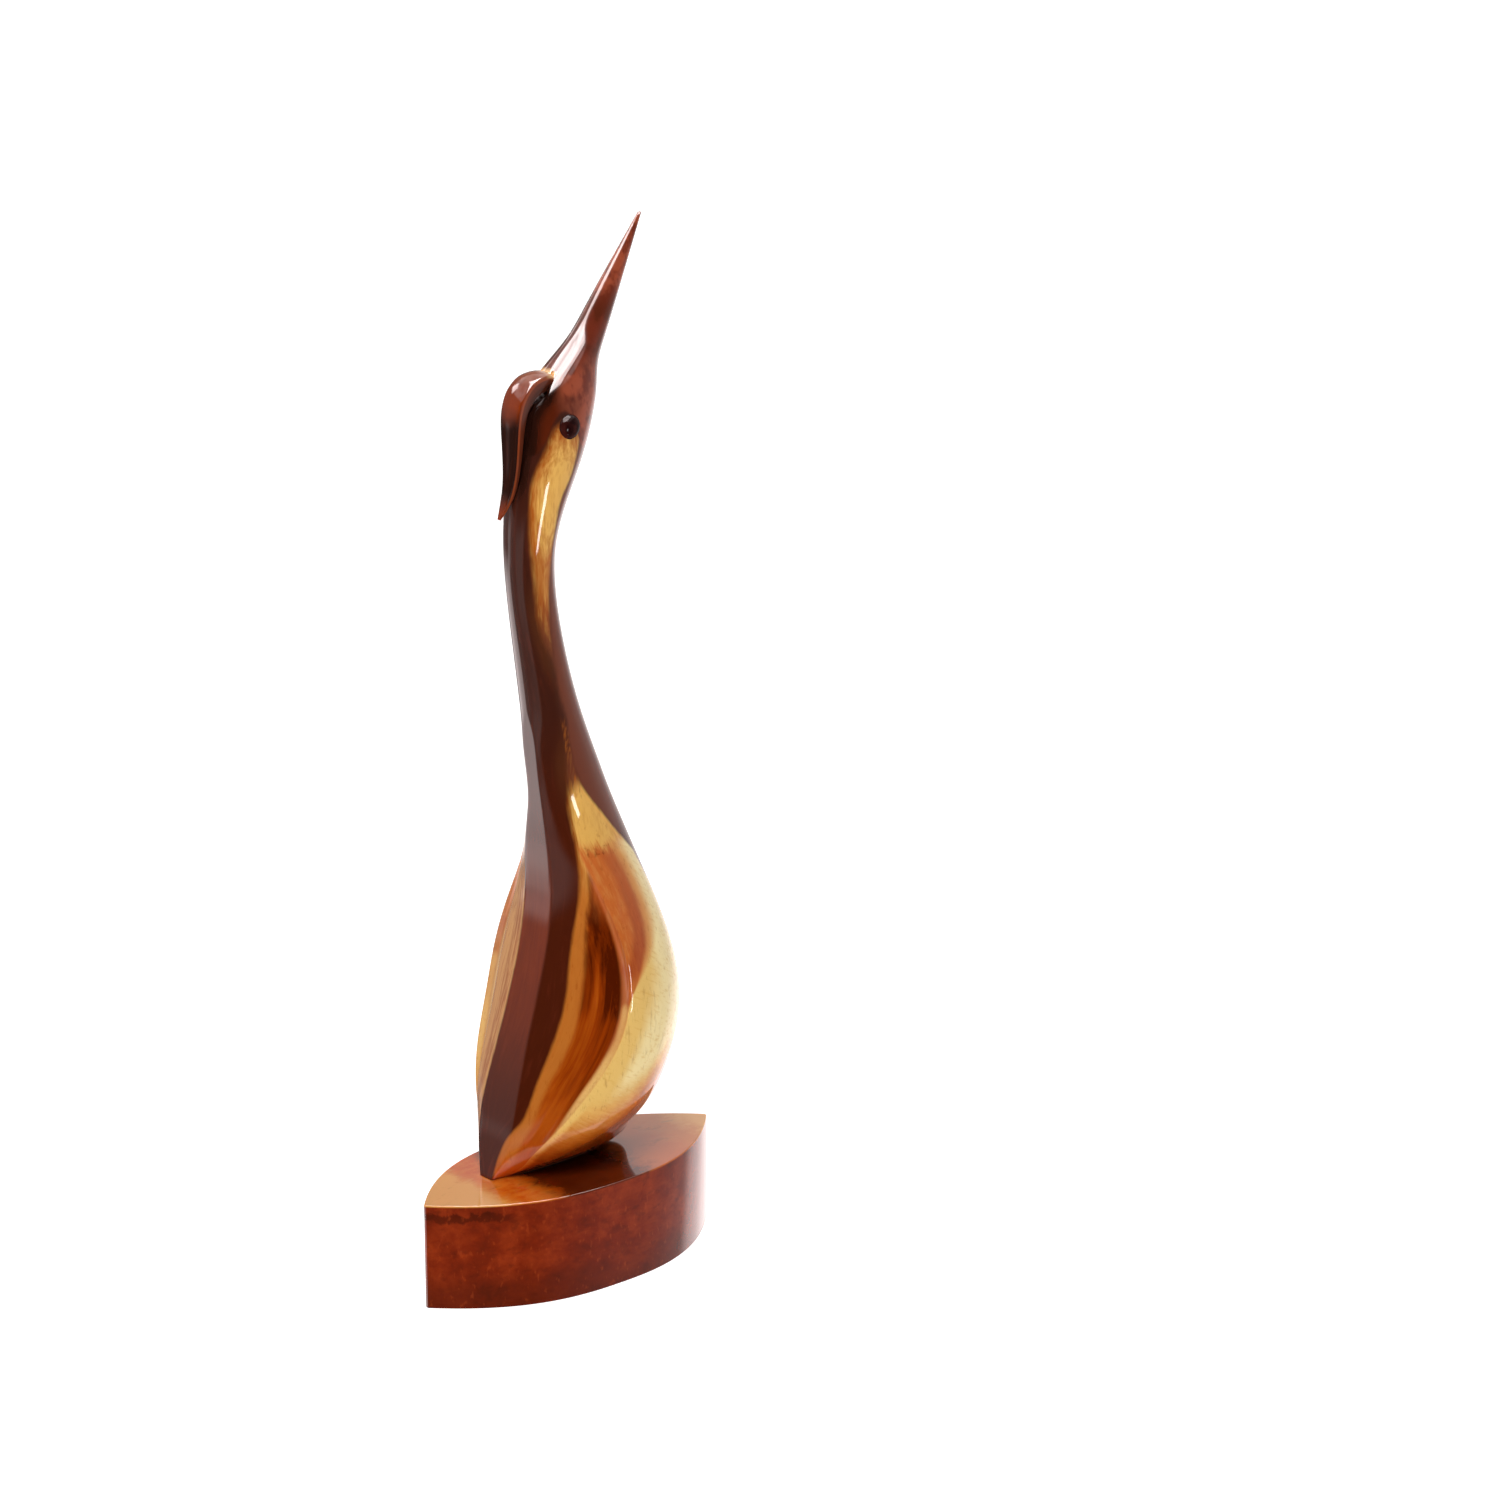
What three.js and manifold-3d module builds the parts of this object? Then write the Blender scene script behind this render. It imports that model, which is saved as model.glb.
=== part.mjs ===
import * as THREE from 'three';
import { mergeVertices } from 'three/addons/utils/BufferGeometryUtils.js';
import Module from 'manifold-3d';

// A slender long-beaked bird carved in two-tone wood, standing on a lens-shaped block.
// Millimetres, +Z up. The bird looks along +X and is the same on both sides of Y = 0.
// The origin is on the underside of the block, below the middle of the bird.

// The block: its plan is two arcs that meet in a blunt point at each end
const block = {
  length: 105,
  width: 46,
  height: 31.6,
  middleY: -4.4,
  arcPower: 2.5,
  pointWidth: 0.8,
  topRound: 0.9,
  footRound: 0.45,
  stepsPerArc: 26,
  stepsPerRound: 2,
};

// Glued pieces keep this gap, so that no two solids touch
const gap = 0.3;
const footHeight = block.height + gap;
const tip = { height: 305, behindBreast: 0.6 };

// The bird is a stack of level sections. Each curve is [height, value] through its turns.
// The back edge and the breast edge, seen from the side
const backLine = [
  [footHeight, -27.0], [40, -24.6], [49.4, -22.6], [67.5, -17.6], [84.4, -12.4], [98, -8.8],
  [113, -6.4], [128, -6.4], [141, -6.9], [150, -7.9], [168, -9.8], [187, -12.4], [204, -14.6],
  [220, -15.0], [240, -13.0], [250, -11.6], [258, -7.6], [266, -0.6], [272, 6.2], [280, 12.9],
  [tip.height, 32.6],
];
const breastLine = [
  [footHeight, 17], [33.4, 21.2], [38, 24.0], [46, 27.8], [58, 32.8], [74, 36.2], [88, 35.2],
  [106, 30.6], [128, 22.8], [150, 14.4], [168, 7.4], [187, 2.2], [204, -0.4], [216, -0.3],
  [228, 3.4], [240, 9.4], [250, 13.4], [258, 15.4], [266, 16.6], [272, 19.0], [tip.height, 33.6],
];
// The greatest half width, and how far along from back to breast it lies
const halfWidth = [
  [footHeight, 4.8], [33.4, 7.6], [38, 13.6], [46, 21.4], [58, 28], [74, 31.6], [84, 32],
  [95, 30], [107, 25.1], [119, 19.1], [132, 13.4], [141, 10.2], [150, 8.9], [168, 8.1], [187, 7.2],
  [204, 6.7], [220, 7.6], [236, 8.8], [248, 8.6], [258, 7.4], [268, 5.2], [278, 3.8],
  [tip.height, 0.5],
];
const widestPart = [
  [footHeight, 0.46], [58, 0.4], [84, 0.37], [107, 0.38], [128, 0.44], [150, 0.5],
];
// How far behind its widest place the round of the belly would reach if it weren't planed
const belliedBack = [
  [footHeight, 22], [46, 24], [58, 24], [74, 22], [84, 20], [95, 17.6], [107, 14.6], [119, 12.2],
  [135, 12.4],
];
// Half width of the flat planed down the back
const backFlat = [
  [footHeight, 2.8], [40, 6.2], [49.4, 7.3], [67.5, 6.4], [84.4, 5.8], [113, 5.9], [128, 5.1],
  [140, 3.3], [150, 2.8], [162, 2.4], [169, 0.2],
];
const flatAtMost = 0.9;
// Where the wing's edge stands on the round of the belly, in degrees from straight back
const ridgeAngle = [
  [footHeight, 44], [43.5, 50], [58, 61], [72, 72], [86, 77], [99, 76], [109, 70], [119, 60],
  [135, 45],
];
// How round the flank is between the flat and the wing's edge: 1 is round, 0 is flat
const flankRound = [[footHeight, 0.7], [46, 0.3], [84, 0.2], [113, 0.2], [135, 0.5], [155, 1]];
// The hollow of the wing: its depth, and where it starts on the flank from 0 to 1.
// It sinks softly from its start and rises sharply to the wing's edge
const hollowDepth = [[43, 0], [52, 1.2], [70, 2.2], [95, 2.2], [112, 1.2], [124, 0]];
const hollowStart = [[43, 0.55], [58, 0.5], [86, 0.49], [113, 0.66], [124, 0.8]];
const hollow = { lateness: 1.5, edgeShare: 0.45 };
// Between these heights the bellied round of the body turns into the oval of the neck
const neck = { from: 112, to: 150 };
// The beak has a ridge along its back: its round section turns into a pointed one
const beakRidge = { from: 258, to: 276, sharpness: 0.35 };

// The crest is a strap from the top of the head, curled over and down behind it to a free point.
// Its outer face, seen from the side, and what it measures along the way, by share of its length
const crest = {
  outerFace: [
    [0.4, 263.2], [-1.6, 264.3], [-4.4, 264.5], [-7.4, 263.8], [-10.2, 262.0], [-12.5, 259.0],
    [-13.9, 255.0], [-14.5, 248], [-14.7, 240], [-15.8, 232.6], [-18.6, 225.4],
  ],
  halfWidth: [[0, 3.2], [0.12, 3.9], [0.4, 4.0], [0.6, 3.3], [0.8, 2.3], [0.92, 1.4], [1, 0.5]],
  thickness: [
    [0, 4.5], [0.15, 4.8], [0.31, 4.3], [0.4, 3.7], [0.52, 3.1], [0.77, 2.3], [0.88, 1.8], [1, 0.5],
  ],
  crown: 0.175,
  undercut: 0.85,
  rings: 22,
  stepsAcross: 4,
};
// A groove follows each side of the crest and parts it from the head
const groove = {
  width: [[0.03, 0.5], [0.1, 1.5], [0.18, 2.1], [0.35, 2.1], [0.6, 1.5], [0.8, 0.7], [0.88, 0.3]],
  above: 1.2,
  under: 0.8,
  from: 0.03,
  to: 0.88,
  rings: 16,
};

// The eyes are flat dark beads, each set in a close socket in the side of the head
const eye = { radius: 3.6, depth: 2.3, x: 0.6, y: 7.6, z: 250.1, around: 20, down: 12 };

// Sections are close at the foot and the head, and wider apart on the body
const levels = [
  { from: footHeight, to: 38, count: 6 }, { from: 38, to: 130, count: 26 },
  { from: 130, to: 215, count: 14 }, { from: 215, to: 280, count: 20 },
  { from: 280, to: 304.3, count: 5 },
];
const steps = { flank: 3, hollow: 4, side: 3, breast: 7 };

// A smooth curve through [at, value] pairs, held level beyond its ends
function curve(pairs) {
  const last = pairs.length - 1;
  const span = (i) => pairs[i + 1][0] - pairs[i][0];
  const rise = (i) => (pairs[i + 1][1] - pairs[i][1]) / span(i);
  const bend = new Array(last + 1).fill(0);
  const carry = new Array(last + 1).fill(0);
  for (let i = 1; i < last; i++) {
    const pivot = 2 * (span(i - 1) + span(i)) - span(i - 1) * carry[i - 1];
    carry[i] = span(i) / pivot;
    bend[i] = (6 * (rise(i) - rise(i - 1)) - span(i - 1) * bend[i - 1]) / pivot;
  }
  for (let i = last - 1; i > 0; i--) {
    bend[i] -= carry[i] * bend[i + 1];
  }
  return (at) => {
    const x = Math.min(Math.max(at, pairs[0][0]), pairs[last][0]);
    let i = 0;
    while (i < last - 1 && x > pairs[i + 1][0]) i++;
    const h = span(i);
    const a = (pairs[i + 1][0] - x) / h;
    const b = 1 - a;
    const sag = ((a ** 3 - a) * bend[i] + (b ** 3 - b) * bend[i + 1]) * h * h / 6;
    return a * pairs[i][1] + b * pairs[i + 1][1] + sag;
  };
}

const shape = {
  back: curve(backLine),
  breast: curve(breastLine),
  width: curve(halfWidth),
  widest: curve(widestPart),
  bellied: curve(belliedBack),
  flat: curve(backFlat),
  ridge: curve(ridgeAngle),
  round: curve(flankRound),
  depth: curve(hollowDepth),
  start: curve(hollowStart),
};

function hollowProfile(t) {
  const { lateness, edgeShare } = hollow;
  return Math.sin(Math.PI * t ** lateness) * (1 - edgeShare + edgeShare * t);
}

// One level section, from the middle of the back round the right side and back again
function section(z) {
  const back = shape.back(z);
  const breast = shape.breast(z);
  const middle = back + (breast - back) * shape.widest(z);
  const width = shape.width(z);
  const neckPart = THREE.MathUtils.smoothstep(z, neck.from, neck.to);
  const reach = THREE.MathUtils.lerp(shape.bellied(z), middle - back, neckPart);
  const flat = Math.min(shape.flat(z), width * flatAtMost);
  const sharp = 1 + beakRidge.sharpness * THREE.MathUtils.smoothstep(z, beakRidge.from, beakRidge.to);
  const onRound = (angle) => [
    middle - reach * Math.max(Math.cos(angle), 0) ** sharp,
    width * Math.sin(angle) ** sharp,
  ];
  const ridgeTurn = THREE.MathUtils.degToRad(shape.ridge(z));
  const flatTurn = Math.asin((flat / width) ** (1 / sharp));
  const ridge = onRound(ridgeTurn);
  const roundStart = onRound(flatTurn);
  const flank = [ridge[0] - back, ridge[1] - flat];
  const flankLength = Math.hypot(...flank);
  const outward = [-flank[1] / flankLength, flank[0] / flankLength];
  const start = shape.start(z);
  const half = [[back, 0]];
  const flankPoint = (t) => {
    const full = onRound(flatTurn + (ridgeTurn - flatTurn) * t);
    const sinkPlace = Math.max(0, (t - start) / (1 - start));
    const sink = Math.max(0, shape.depth(z)) * hollowProfile(sinkPlace);
    return [0, 1].map((k) => {
      const bulge = full[k] - roundStart[k] - (ridge[k] - roundStart[k]) * t;
      return [back, flat][k] + flank[k] * t + shape.round(z) * bulge - outward[k] * sink;
    });
  };
  for (let i = 0; i <= steps.flank; i++) {
    half.push(flankPoint(start * i / steps.flank));
  }
  for (let i = 1; i <= steps.hollow; i++) {
    half.push(flankPoint(start + (1 - start) * i / steps.hollow));
  }
  for (let i = 1; i <= steps.side; i++) {
    half.push(onRound(ridgeTurn + (Math.PI / 2 - ridgeTurn) * i / steps.side));
  }
  for (let i = 1; i <= steps.breast; i++) {
    const turn = Math.PI / 2 * i / steps.breast;
    half.push([middle + (breast - middle) * Math.sin(turn), width * Math.cos(turn)]);
  }
  half[half.length - 1][1] = 0;
  const right = half.map(([x, y]) => [x, -y, z]);
  const left = half.slice(1, -1).reverse().map(([x, y]) => [x, y, z]);
  return right.concat(left);
}

function ringHeights() {
  const heights = [];
  for (const { from, to, count } of levels) {
    for (let i = 0; i < count; i++) heights.push(from + (to - from) * i / count);
  }
  heights.push(levels.at(-1).to);
  return heights;
}

// A closed body through rings of equal length, each end closed by a fan to its middle or to a point
function loft(rings, endPoint) {
  const count = rings[0].length;
  const positions = rings.flat(2);
  const faces = [];
  for (let r = 0; r + 1 < rings.length; r++) {
    for (let i = 0; i < count; i++) {
      const a = r * count + i;
      const b = r * count + (i + 1) % count;
      faces.push(a, b, b + count, a, b + count, a + count);
    }
  }
  const closeEnd = (ring, first, atEnd) => {
    const centre = positions.length / 3;
    const middle = [0, 1, 2].map((k) => ring.reduce((sum, point) => sum + point[k], 0) / count);
    positions.push(...(atEnd && endPoint ? endPoint : middle));
    for (let i = 0; i < count; i++) {
      const a = first + i;
      const b = first + (i + 1) % count;
      if (atEnd) faces.push(a, b, centre);
      else faces.push(b, a, centre);
    }
  };
  closeEnd(rings[0], 0, false);
  closeEnd(rings.at(-1), (rings.length - 1) * count, true);
  const geometry = new THREE.BufferGeometry();
  geometry.setAttribute('position', new THREE.Float32BufferAttribute(positions, 3));
  geometry.setIndex(faces);
  return geometry;
}

const crestPath = new THREE.CatmullRomCurve3(
  crest.outerFace.map(([x, z]) => new THREE.Vector3(x, 0, z)), false, 'centripetal',
);
const crestWidth = curve(crest.halfWidth);
const crestThickness = curve(crest.thickness);

// A body swept along the crest. Its outline is [sideways, sunk below the outer face] at each place
function alongCrest(from, to, count, outline) {
  const rings = [];
  for (let i = 0; i <= count; i++) {
    const t = from + (to - from) * i / count;
    const at = crestPath.getPointAt(t);
    const along = crestPath.getTangentAt(t);
    rings.push(outline(t).map(([y, sink]) => [at.x - along.z * sink, y, at.z + along.x * sink]));
  }
  return loft(rings);
}

function crestGeometry() {
  return alongCrest(0, 1, crest.rings, (t) => {
    const w = crestWidth(t);
    const deep = crestThickness(t);
    const outline = [];
    for (let i = 0; i <= crest.stepsAcross; i++) {
      const across = -1 + 2 * i / crest.stepsAcross;
      outline.push([w * across, -crest.crown * w * (1 - across * across)]);
    }
    outline.push([w * crest.undercut, deep], [-w * crest.undercut, deep]);
    return outline;
  });
}

// What is cut away beside the crest, on the right where side is -1 and on the left where it is 1
function grooveGeometry(side) {
  const width = curve(groove.width);
  return alongCrest(groove.from, groove.to, groove.rings, (t) => {
    const inner = crestWidth(t) * crest.undercut - groove.under;
    const outer = crestWidth(t) + width(t);
    const deep = crestThickness(t);
    const floor = deep + groove.under * width(t);
    const outline = [
      [inner, -groove.above], [outer, -groove.above], [outer, deep / 2],
      [(inner + 2 * outer) / 3, floor], [inner, floor],
    ];
    return side > 0 ? outline : outline.map(([y, sink]) => [-y, sink]).reverse();
  });
}

const wasm = await Module();
wasm.setup();

function toSolid(geometry) {
  const bare = geometry.clone();
  bare.deleteAttribute('normal');
  bare.deleteAttribute('uv');
  const merged = mergeVertices(bare);
  const vertProperties = new Float32Array(merged.attributes.position.array);
  const triVerts = new Uint32Array(merged.index.array);
  return new wasm.Manifold(new wasm.Mesh({ numProp: 3, vertProperties, triVerts }));
}

function toGeometry(solid) {
  const { vertProperties, triVerts } = solid.getMesh();
  const geometry = new THREE.BufferGeometry();
  geometry.setAttribute('position', new THREE.BufferAttribute(vertProperties, 3));
  geometry.setIndex(new THREE.BufferAttribute(triVerts, 1));
  return geometry;
}

// A flat bead, or its socket where extra is the room round the bead
function beadGeometry(side, extra = 0) {
  const radius = eye.radius + extra;
  const bead = new THREE.SphereGeometry(radius, eye.around, eye.down);
  bead.scale(1, (eye.depth + extra) / radius, 1);
  return bead.translate(eye.x, side * eye.y, eye.z);
}

function birdGeometry() {
  const point = [shape.breast(tip.height) - tip.behindBreast, 0, tip.height];
  let bird = toSolid(loft(ringHeights().map(section), point));
  for (const side of [-1, 1]) bird = bird.subtract(toSolid(grooveGeometry(side)));
  bird = bird.add(toSolid(crestGeometry()));
  for (const side of [-1, 1]) bird = bird.subtract(toSolid(beadGeometry(side, gap)));
  return toGeometry(bird);
}

function blockOutline(inset) {
  const points = [];
  const half = block.length / 2 - inset;
  for (const side of [-1, 1]) {
    for (let i = 0; i <= block.stepsPerArc; i++) {
      const along = -Math.cos(Math.PI * i / block.stepsPerArc);
      const reach = (block.width / 2 - inset) * (1 - Math.abs(along) ** block.arcPower);
      const y = side * Math.max(reach, block.pointWidth / 2);
      points.push([-side * along * half, block.middleY + y]);
    }
  }
  return points;
}

function blockGeometry() {
  const { height, topRound, footRound, stepsPerRound } = block;
  const rings = [];
  const quarter = (i) => Math.PI / 2 * i / stepsPerRound;
  for (let i = 0; i <= stepsPerRound; i++) {
    rings.push([footRound * (1 - Math.sin(quarter(i))), footRound * (1 - Math.cos(quarter(i)))]);
  }
  for (let i = 0; i <= stepsPerRound; i++) {
    rings.push([topRound * (1 - Math.cos(quarter(i))), height - topRound * (1 - Math.sin(quarter(i)))]);
  }
  return loft(rings.map(([inset, z]) => blockOutline(inset).map(([x, y]) => [x, y, z])));
}

function piece(name, geometry, colour, roughness) {
  const material = new THREE.MeshStandardMaterial({ color: colour, roughness, metalness: 0 });
  const mesh = new THREE.Mesh(geometry, material);
  mesh.name = name;
  return mesh;
}

const group = new THREE.Group();
group.add(piece('bird', birdGeometry(), 0x7a3a18, 0.2));
group.add(piece('eye_right', beadGeometry(-1), 0x1c0d08, 0.1));
group.add(piece('eye_left', beadGeometry(1), 0x1c0d08, 0.1));
group.add(piece('base_block', blockGeometry(), 0x8a3a1c, 0.2));
export default group;
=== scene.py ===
import math
import bpy
import numpy as np
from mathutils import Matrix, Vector


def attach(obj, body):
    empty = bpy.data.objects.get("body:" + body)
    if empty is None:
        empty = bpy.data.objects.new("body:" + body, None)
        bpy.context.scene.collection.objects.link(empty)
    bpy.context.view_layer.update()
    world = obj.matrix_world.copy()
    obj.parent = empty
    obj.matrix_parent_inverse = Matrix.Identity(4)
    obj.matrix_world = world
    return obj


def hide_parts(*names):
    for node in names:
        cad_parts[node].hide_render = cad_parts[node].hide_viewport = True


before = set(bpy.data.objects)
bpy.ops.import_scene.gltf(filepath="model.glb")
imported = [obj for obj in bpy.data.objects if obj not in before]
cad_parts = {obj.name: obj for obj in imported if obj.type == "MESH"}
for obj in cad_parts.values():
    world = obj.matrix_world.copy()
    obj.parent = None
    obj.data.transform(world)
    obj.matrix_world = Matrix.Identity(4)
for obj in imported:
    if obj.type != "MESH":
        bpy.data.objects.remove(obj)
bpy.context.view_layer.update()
mm = 0.001


def fromDisplay(red, green, blue):  # a colour as it looks on a screen, 0 to 255, made linear
    linear = []
    for level in (red / 255, green / 255, blue / 255):
        linear.append(level / 12.92 if level <= 0.04045 else ((level + 0.055) / 1.055) ** 2.4)
    return (*linear, 1)


# The camera stands behind the bird's right shoulder and looks a little down
view = {"turn": -41.28, "pitch": 17.7, "place": (-0.8472, -1.0492, 0.5848), "lens": 120, "sensor": 36}


def towards(turn, pitch):  # a level turn from -Y, anticlockwise seen from above, and a tilt up
    turn, pitch = math.radians(turn), math.radians(pitch)
    return Vector((math.sin(turn) * math.cos(pitch), -math.cos(turn) * math.cos(pitch), math.sin(pitch)))


def addCamera():
    data = bpy.data.cameras.new("camera")
    data.lens = view["lens"]
    data.sensor_width = view["sensor"]
    camera = bpy.data.objects.new("camera", data)
    camera.location = view["place"]
    camera.rotation_euler = towards(view["turn"], view["pitch"]).to_track_quat("Z", "Y").to_euler()
    bpy.context.scene.collection.objects.link(camera)
    bpy.context.scene.camera = camera


addCamera()
print("camera placed")


# Node trees, for geometry and for shaders, are written as sums of wires
class Wire:
    def __init__(self, graph, socket):
        self.graph = graph
        self.socket = socket

    def maths(self, operation, *others):
        return self.graph.add("ShaderNodeMath", {"operation": operation}, [self, *others])

    def __add__(self, other):
        return self.maths("ADD", other)

    def __sub__(self, other):
        return self.maths("SUBTRACT", other)

    def __rsub__(self, other):
        return (self * -1).maths("ADD", other)

    def __mul__(self, other):
        return self.maths("MULTIPLY", other)

    def __truediv__(self, other):
        return self.maths("DIVIDE", other)

    def __pow__(self, other):
        return self.maths("POWER", other)

    def __abs__(self):
        return self.maths("ABSOLUTE")


class Graph:
    def __init__(self, tree):
        self.tree = tree

    # Any node: its type, its settings, the values or wires of its sockets by place or name, its output
    def add(self, kind, settings=None, inputs=None, output=0):
        node = self.tree.nodes.new(kind)
        for key, value in (settings or {}).items():
            if key == "stops":
                self.setStops(node.color_ramp, value)
            else:
                setattr(node, key, value)
        pairs = inputs.items() if isinstance(inputs, dict) else enumerate(inputs or [])
        for key, value in pairs:
            if isinstance(value, Wire):
                self.tree.links.new(value.socket, node.inputs[key])
            else:
                node.inputs[key].default_value = value
        return Wire(self, node.outputs[output]) if len(node.outputs) else node

    def setStops(self, ramp, stops):
        while len(ramp.elements) < len(stops):
            ramp.elements.new(1)
        for element, (place, colour) in zip(ramp.elements, stops):
            element.position = place
            element.color = colour

    def blend(self, share, first, second):  # two colours mixed by a share
        settings = {"data_type": "RGBA"}
        return self.add("ShaderNodeMix", settings, {0: share, 6: first, 7: second}, 2)

    def ramp(self, value, stops):  # colours at places from 0 to 1
        return self.add("ShaderNodeValToRGB", {"stops": stops}, [value])

    def rise(self, value, low, high, start=0.0, end=1.0):  # a soft step from start to end
        settings = {"interpolation_type": "SMOOTHSTEP"}
        return self.add("ShaderNodeMapRange", settings, [value, low, high, start, end])

    def between(self, value, low, high, soft):  # 1 between two values, with soft ends outside them
        return self.rise(value, low - soft, low) * self.rise(value, high, high + soft, 1.0, 0.0)

    def noise(self, place, scale, detail=2.0, roughness=0.5, distortion=0.0):
        inputs = {"Vector": place, "Scale": scale, "Detail": detail}
        inputs.update({"Roughness": roughness, "Distortion": distortion})
        return self.add("ShaderNodeTexNoise", None, inputs)

    def stretched(self, place, size):  # the same place with each axis stretched
        return self.add("ShaderNodeVectorMath", {"operation": "MULTIPLY"}, [place, size])

    def grain(self, place, size, *look):  # noise that runs along an axis
        return self.noise(self.stretched(place, size), *look)

    def attribute(self, name):
        return self.add("ShaderNodeAttribute", {"attribute_name": name}, None, "Fac")

    def axes(self, place, scale=1.0):
        return [self.add("ShaderNodeSeparateXYZ", None, [place], axis) * scale for axis in "XYZ"]


def newMaterial(name):
    material = bpy.data.materials.new(name)
    material.use_nodes = True
    material.node_tree.nodes.clear()
    return material, Graph(material.node_tree)


# Heights and distances along the bird, in millimetres, each curve as [height, value]
bird = {
    "backLine": [
        [31.9, -27.0], [40, -24.6], [49.4, -22.6], [67.5, -17.6], [84.4, -12.4], [98, -8.8],
        [113, -6.4], [128, -6.4], [141, -6.9], [150, -7.9], [168, -9.8], [187, -12.4], [204, -14.6],
        [220, -15.0], [240, -13.0], [250, -11.6], [258, -7.6], [266, -0.6], [272, 6.2], [280, 12.9],
        [305, 32.6]],
    "breastLine": [
        [31.9, 17], [33.4, 21.2], [38, 24.0], [46, 27.8], [58, 32.8], [74, 36.2], [88, 35.2],
        [106, 30.6], [128, 22.8], [150, 14.4], [168, 7.4], [187, 2.2], [204, -0.4], [216, -0.3],
        [228, 3.4], [240, 9.4], [250, 13.4], [258, 15.4], [266, 16.6], [272, 19.0], [305, 33.6]],
    "halfWidth": [
        [31.9, 4.8], [33.4, 7.6], [38, 13.6], [46, 21.4], [58, 28], [74, 31.6], [84, 32], [95, 30],
        [107, 25.1], [119, 19.1], [132, 13.4], [141, 10.2], [150, 8.9], [168, 8.1], [187, 7.2],
        [204, 6.7], [220, 7.6], [236, 8.8], [248, 8.6], [258, 7.4], [268, 5.2], [278, 3.8], [305, 0.5]],
    "widestPart": [[31.9, 0.46], [58, 0.4], [84, 0.37], [107, 0.38], [128, 0.44], [150, 0.5]],
    "belliedBack": [
        [31.9, 22], [46, 24], [58, 24], [74, 22], [84, 20], [95, 17.6], [107, 14.6], [119, 12.2],
        [135, 12.4]],
    "backFlat": [
        [31.9, 2.8], [40, 6.2], [49.4, 7.3], [67.5, 6.4], [84.4, 5.8], [113, 5.9], [128, 5.1], [140, 3.3],
        [150, 2.8], [162, 2.4], [169, 0.2]],
    "ridgeAngle": [
        [31.9, 44], [43.5, 50], [58, 61], [72, 72], [86, 77], [99, 76], [109, 70], [119, 60], [135, 45]],
    "flankRound": [[31.9, 0.7], [46, 0.3], [84, 0.2], [113, 0.2], [135, 0.5], [155, 1]],
    "hollowDepth": [[43, 0], [52, 1.2], [70, 2.2], [95, 2.2], [112, 1.2], [124, 0]],
    "hollowStart": [[43, 0.55], [58, 0.5], [86, 0.49], [113, 0.66], [124, 0.8]],
    "hollowLateness": 1.5, "hollowEdgeShare": 0.45, "flatAtMost": 0.9,
    "neckFrom": 112, "neckTo": 150,
    "beakFrom": 258, "beakTo": 276, "beakSharpness": 0.35,
    "foot": 31.62, "firstLevel": 31.9, "lastLevel": 304.3, "tip": 305, "tipBehindBreast": 0.6,
    "levelStep": 0.72, "edgeRadius": 0.3, "edgeShareOfWidth": 0.07, "widest": 32.06,
    "pointsFlat": 7, "pointsFlank": 16, "pointsHollow": 22, "pointsSide": 11, "pointsBreast": 22,
    "evenShare": 0.45, "gatheredShare": 0.55,
    "spreadFrom": 140, "spreadTo": 165, "spreadMarks": (0.06, 0.2, 0.4, 0.5),
    "domeSteps": (0.35, 0.65, 0.88),
}


def smoothCurve(pairs):  # a natural cubic spline, held level beyond its ends
    at, value = np.array(pairs, float).T
    span = np.diff(at)
    slope = np.diff(value) / span
    system = np.eye(len(at))
    pull = np.zeros(len(at))
    for i in range(1, len(at) - 1):
        system[i, i - 1:i + 2] = span[i - 1], 2 * (span[i - 1] + span[i]), span[i]
        pull[i] = 6 * (slope[i] - slope[i - 1])
    bend = np.linalg.solve(system, pull)

    def read(place):
        place = np.clip(place, at[0], at[-1])
        i = np.clip(np.searchsorted(at, place, side="right") - 1, 0, len(at) - 2)
        a = (at[i + 1] - place) / span[i]
        b = 1 - a
        sag = ((a ** 3 - a) * bend[i] + (b ** 3 - b) * bend[i + 1]) * span[i] ** 2 / 6
        return a * value[i] + b * value[i + 1] + sag

    return read


def softStep(value, low, high):
    share = np.clip((value - low) / (high - low), 0, 1)
    return share * share * (3 - 2 * share)


birdCurves = {name: smoothCurve(pairs) for name, pairs in bird.items() if isinstance(pairs, list)}


# What the level section at a height measures, for one height or many
def sectionSizes(z):
    at = {name: curve(z) for name, curve in birdCurves.items()}
    at["middle"] = at["backLine"] + (at["breastLine"] - at["backLine"]) * at["widestPart"]
    neckPart = softStep(z, bird["neckFrom"], bird["neckTo"])
    at["reach"] = at["belliedBack"] * (1 - neckPart) + (at["middle"] - at["backLine"]) * neckPart
    at["sharp"] = 1 + bird["beakSharpness"] * softStep(z, bird["beakFrom"], bird["beakTo"])
    return at


def wingEdge(z):  # how far forward the wing's edge lies
    at = sectionSizes(z)
    return at["middle"] - at["reach"] * np.cos(np.radians(at["ridgeAngle"])) ** at["sharp"]


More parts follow.
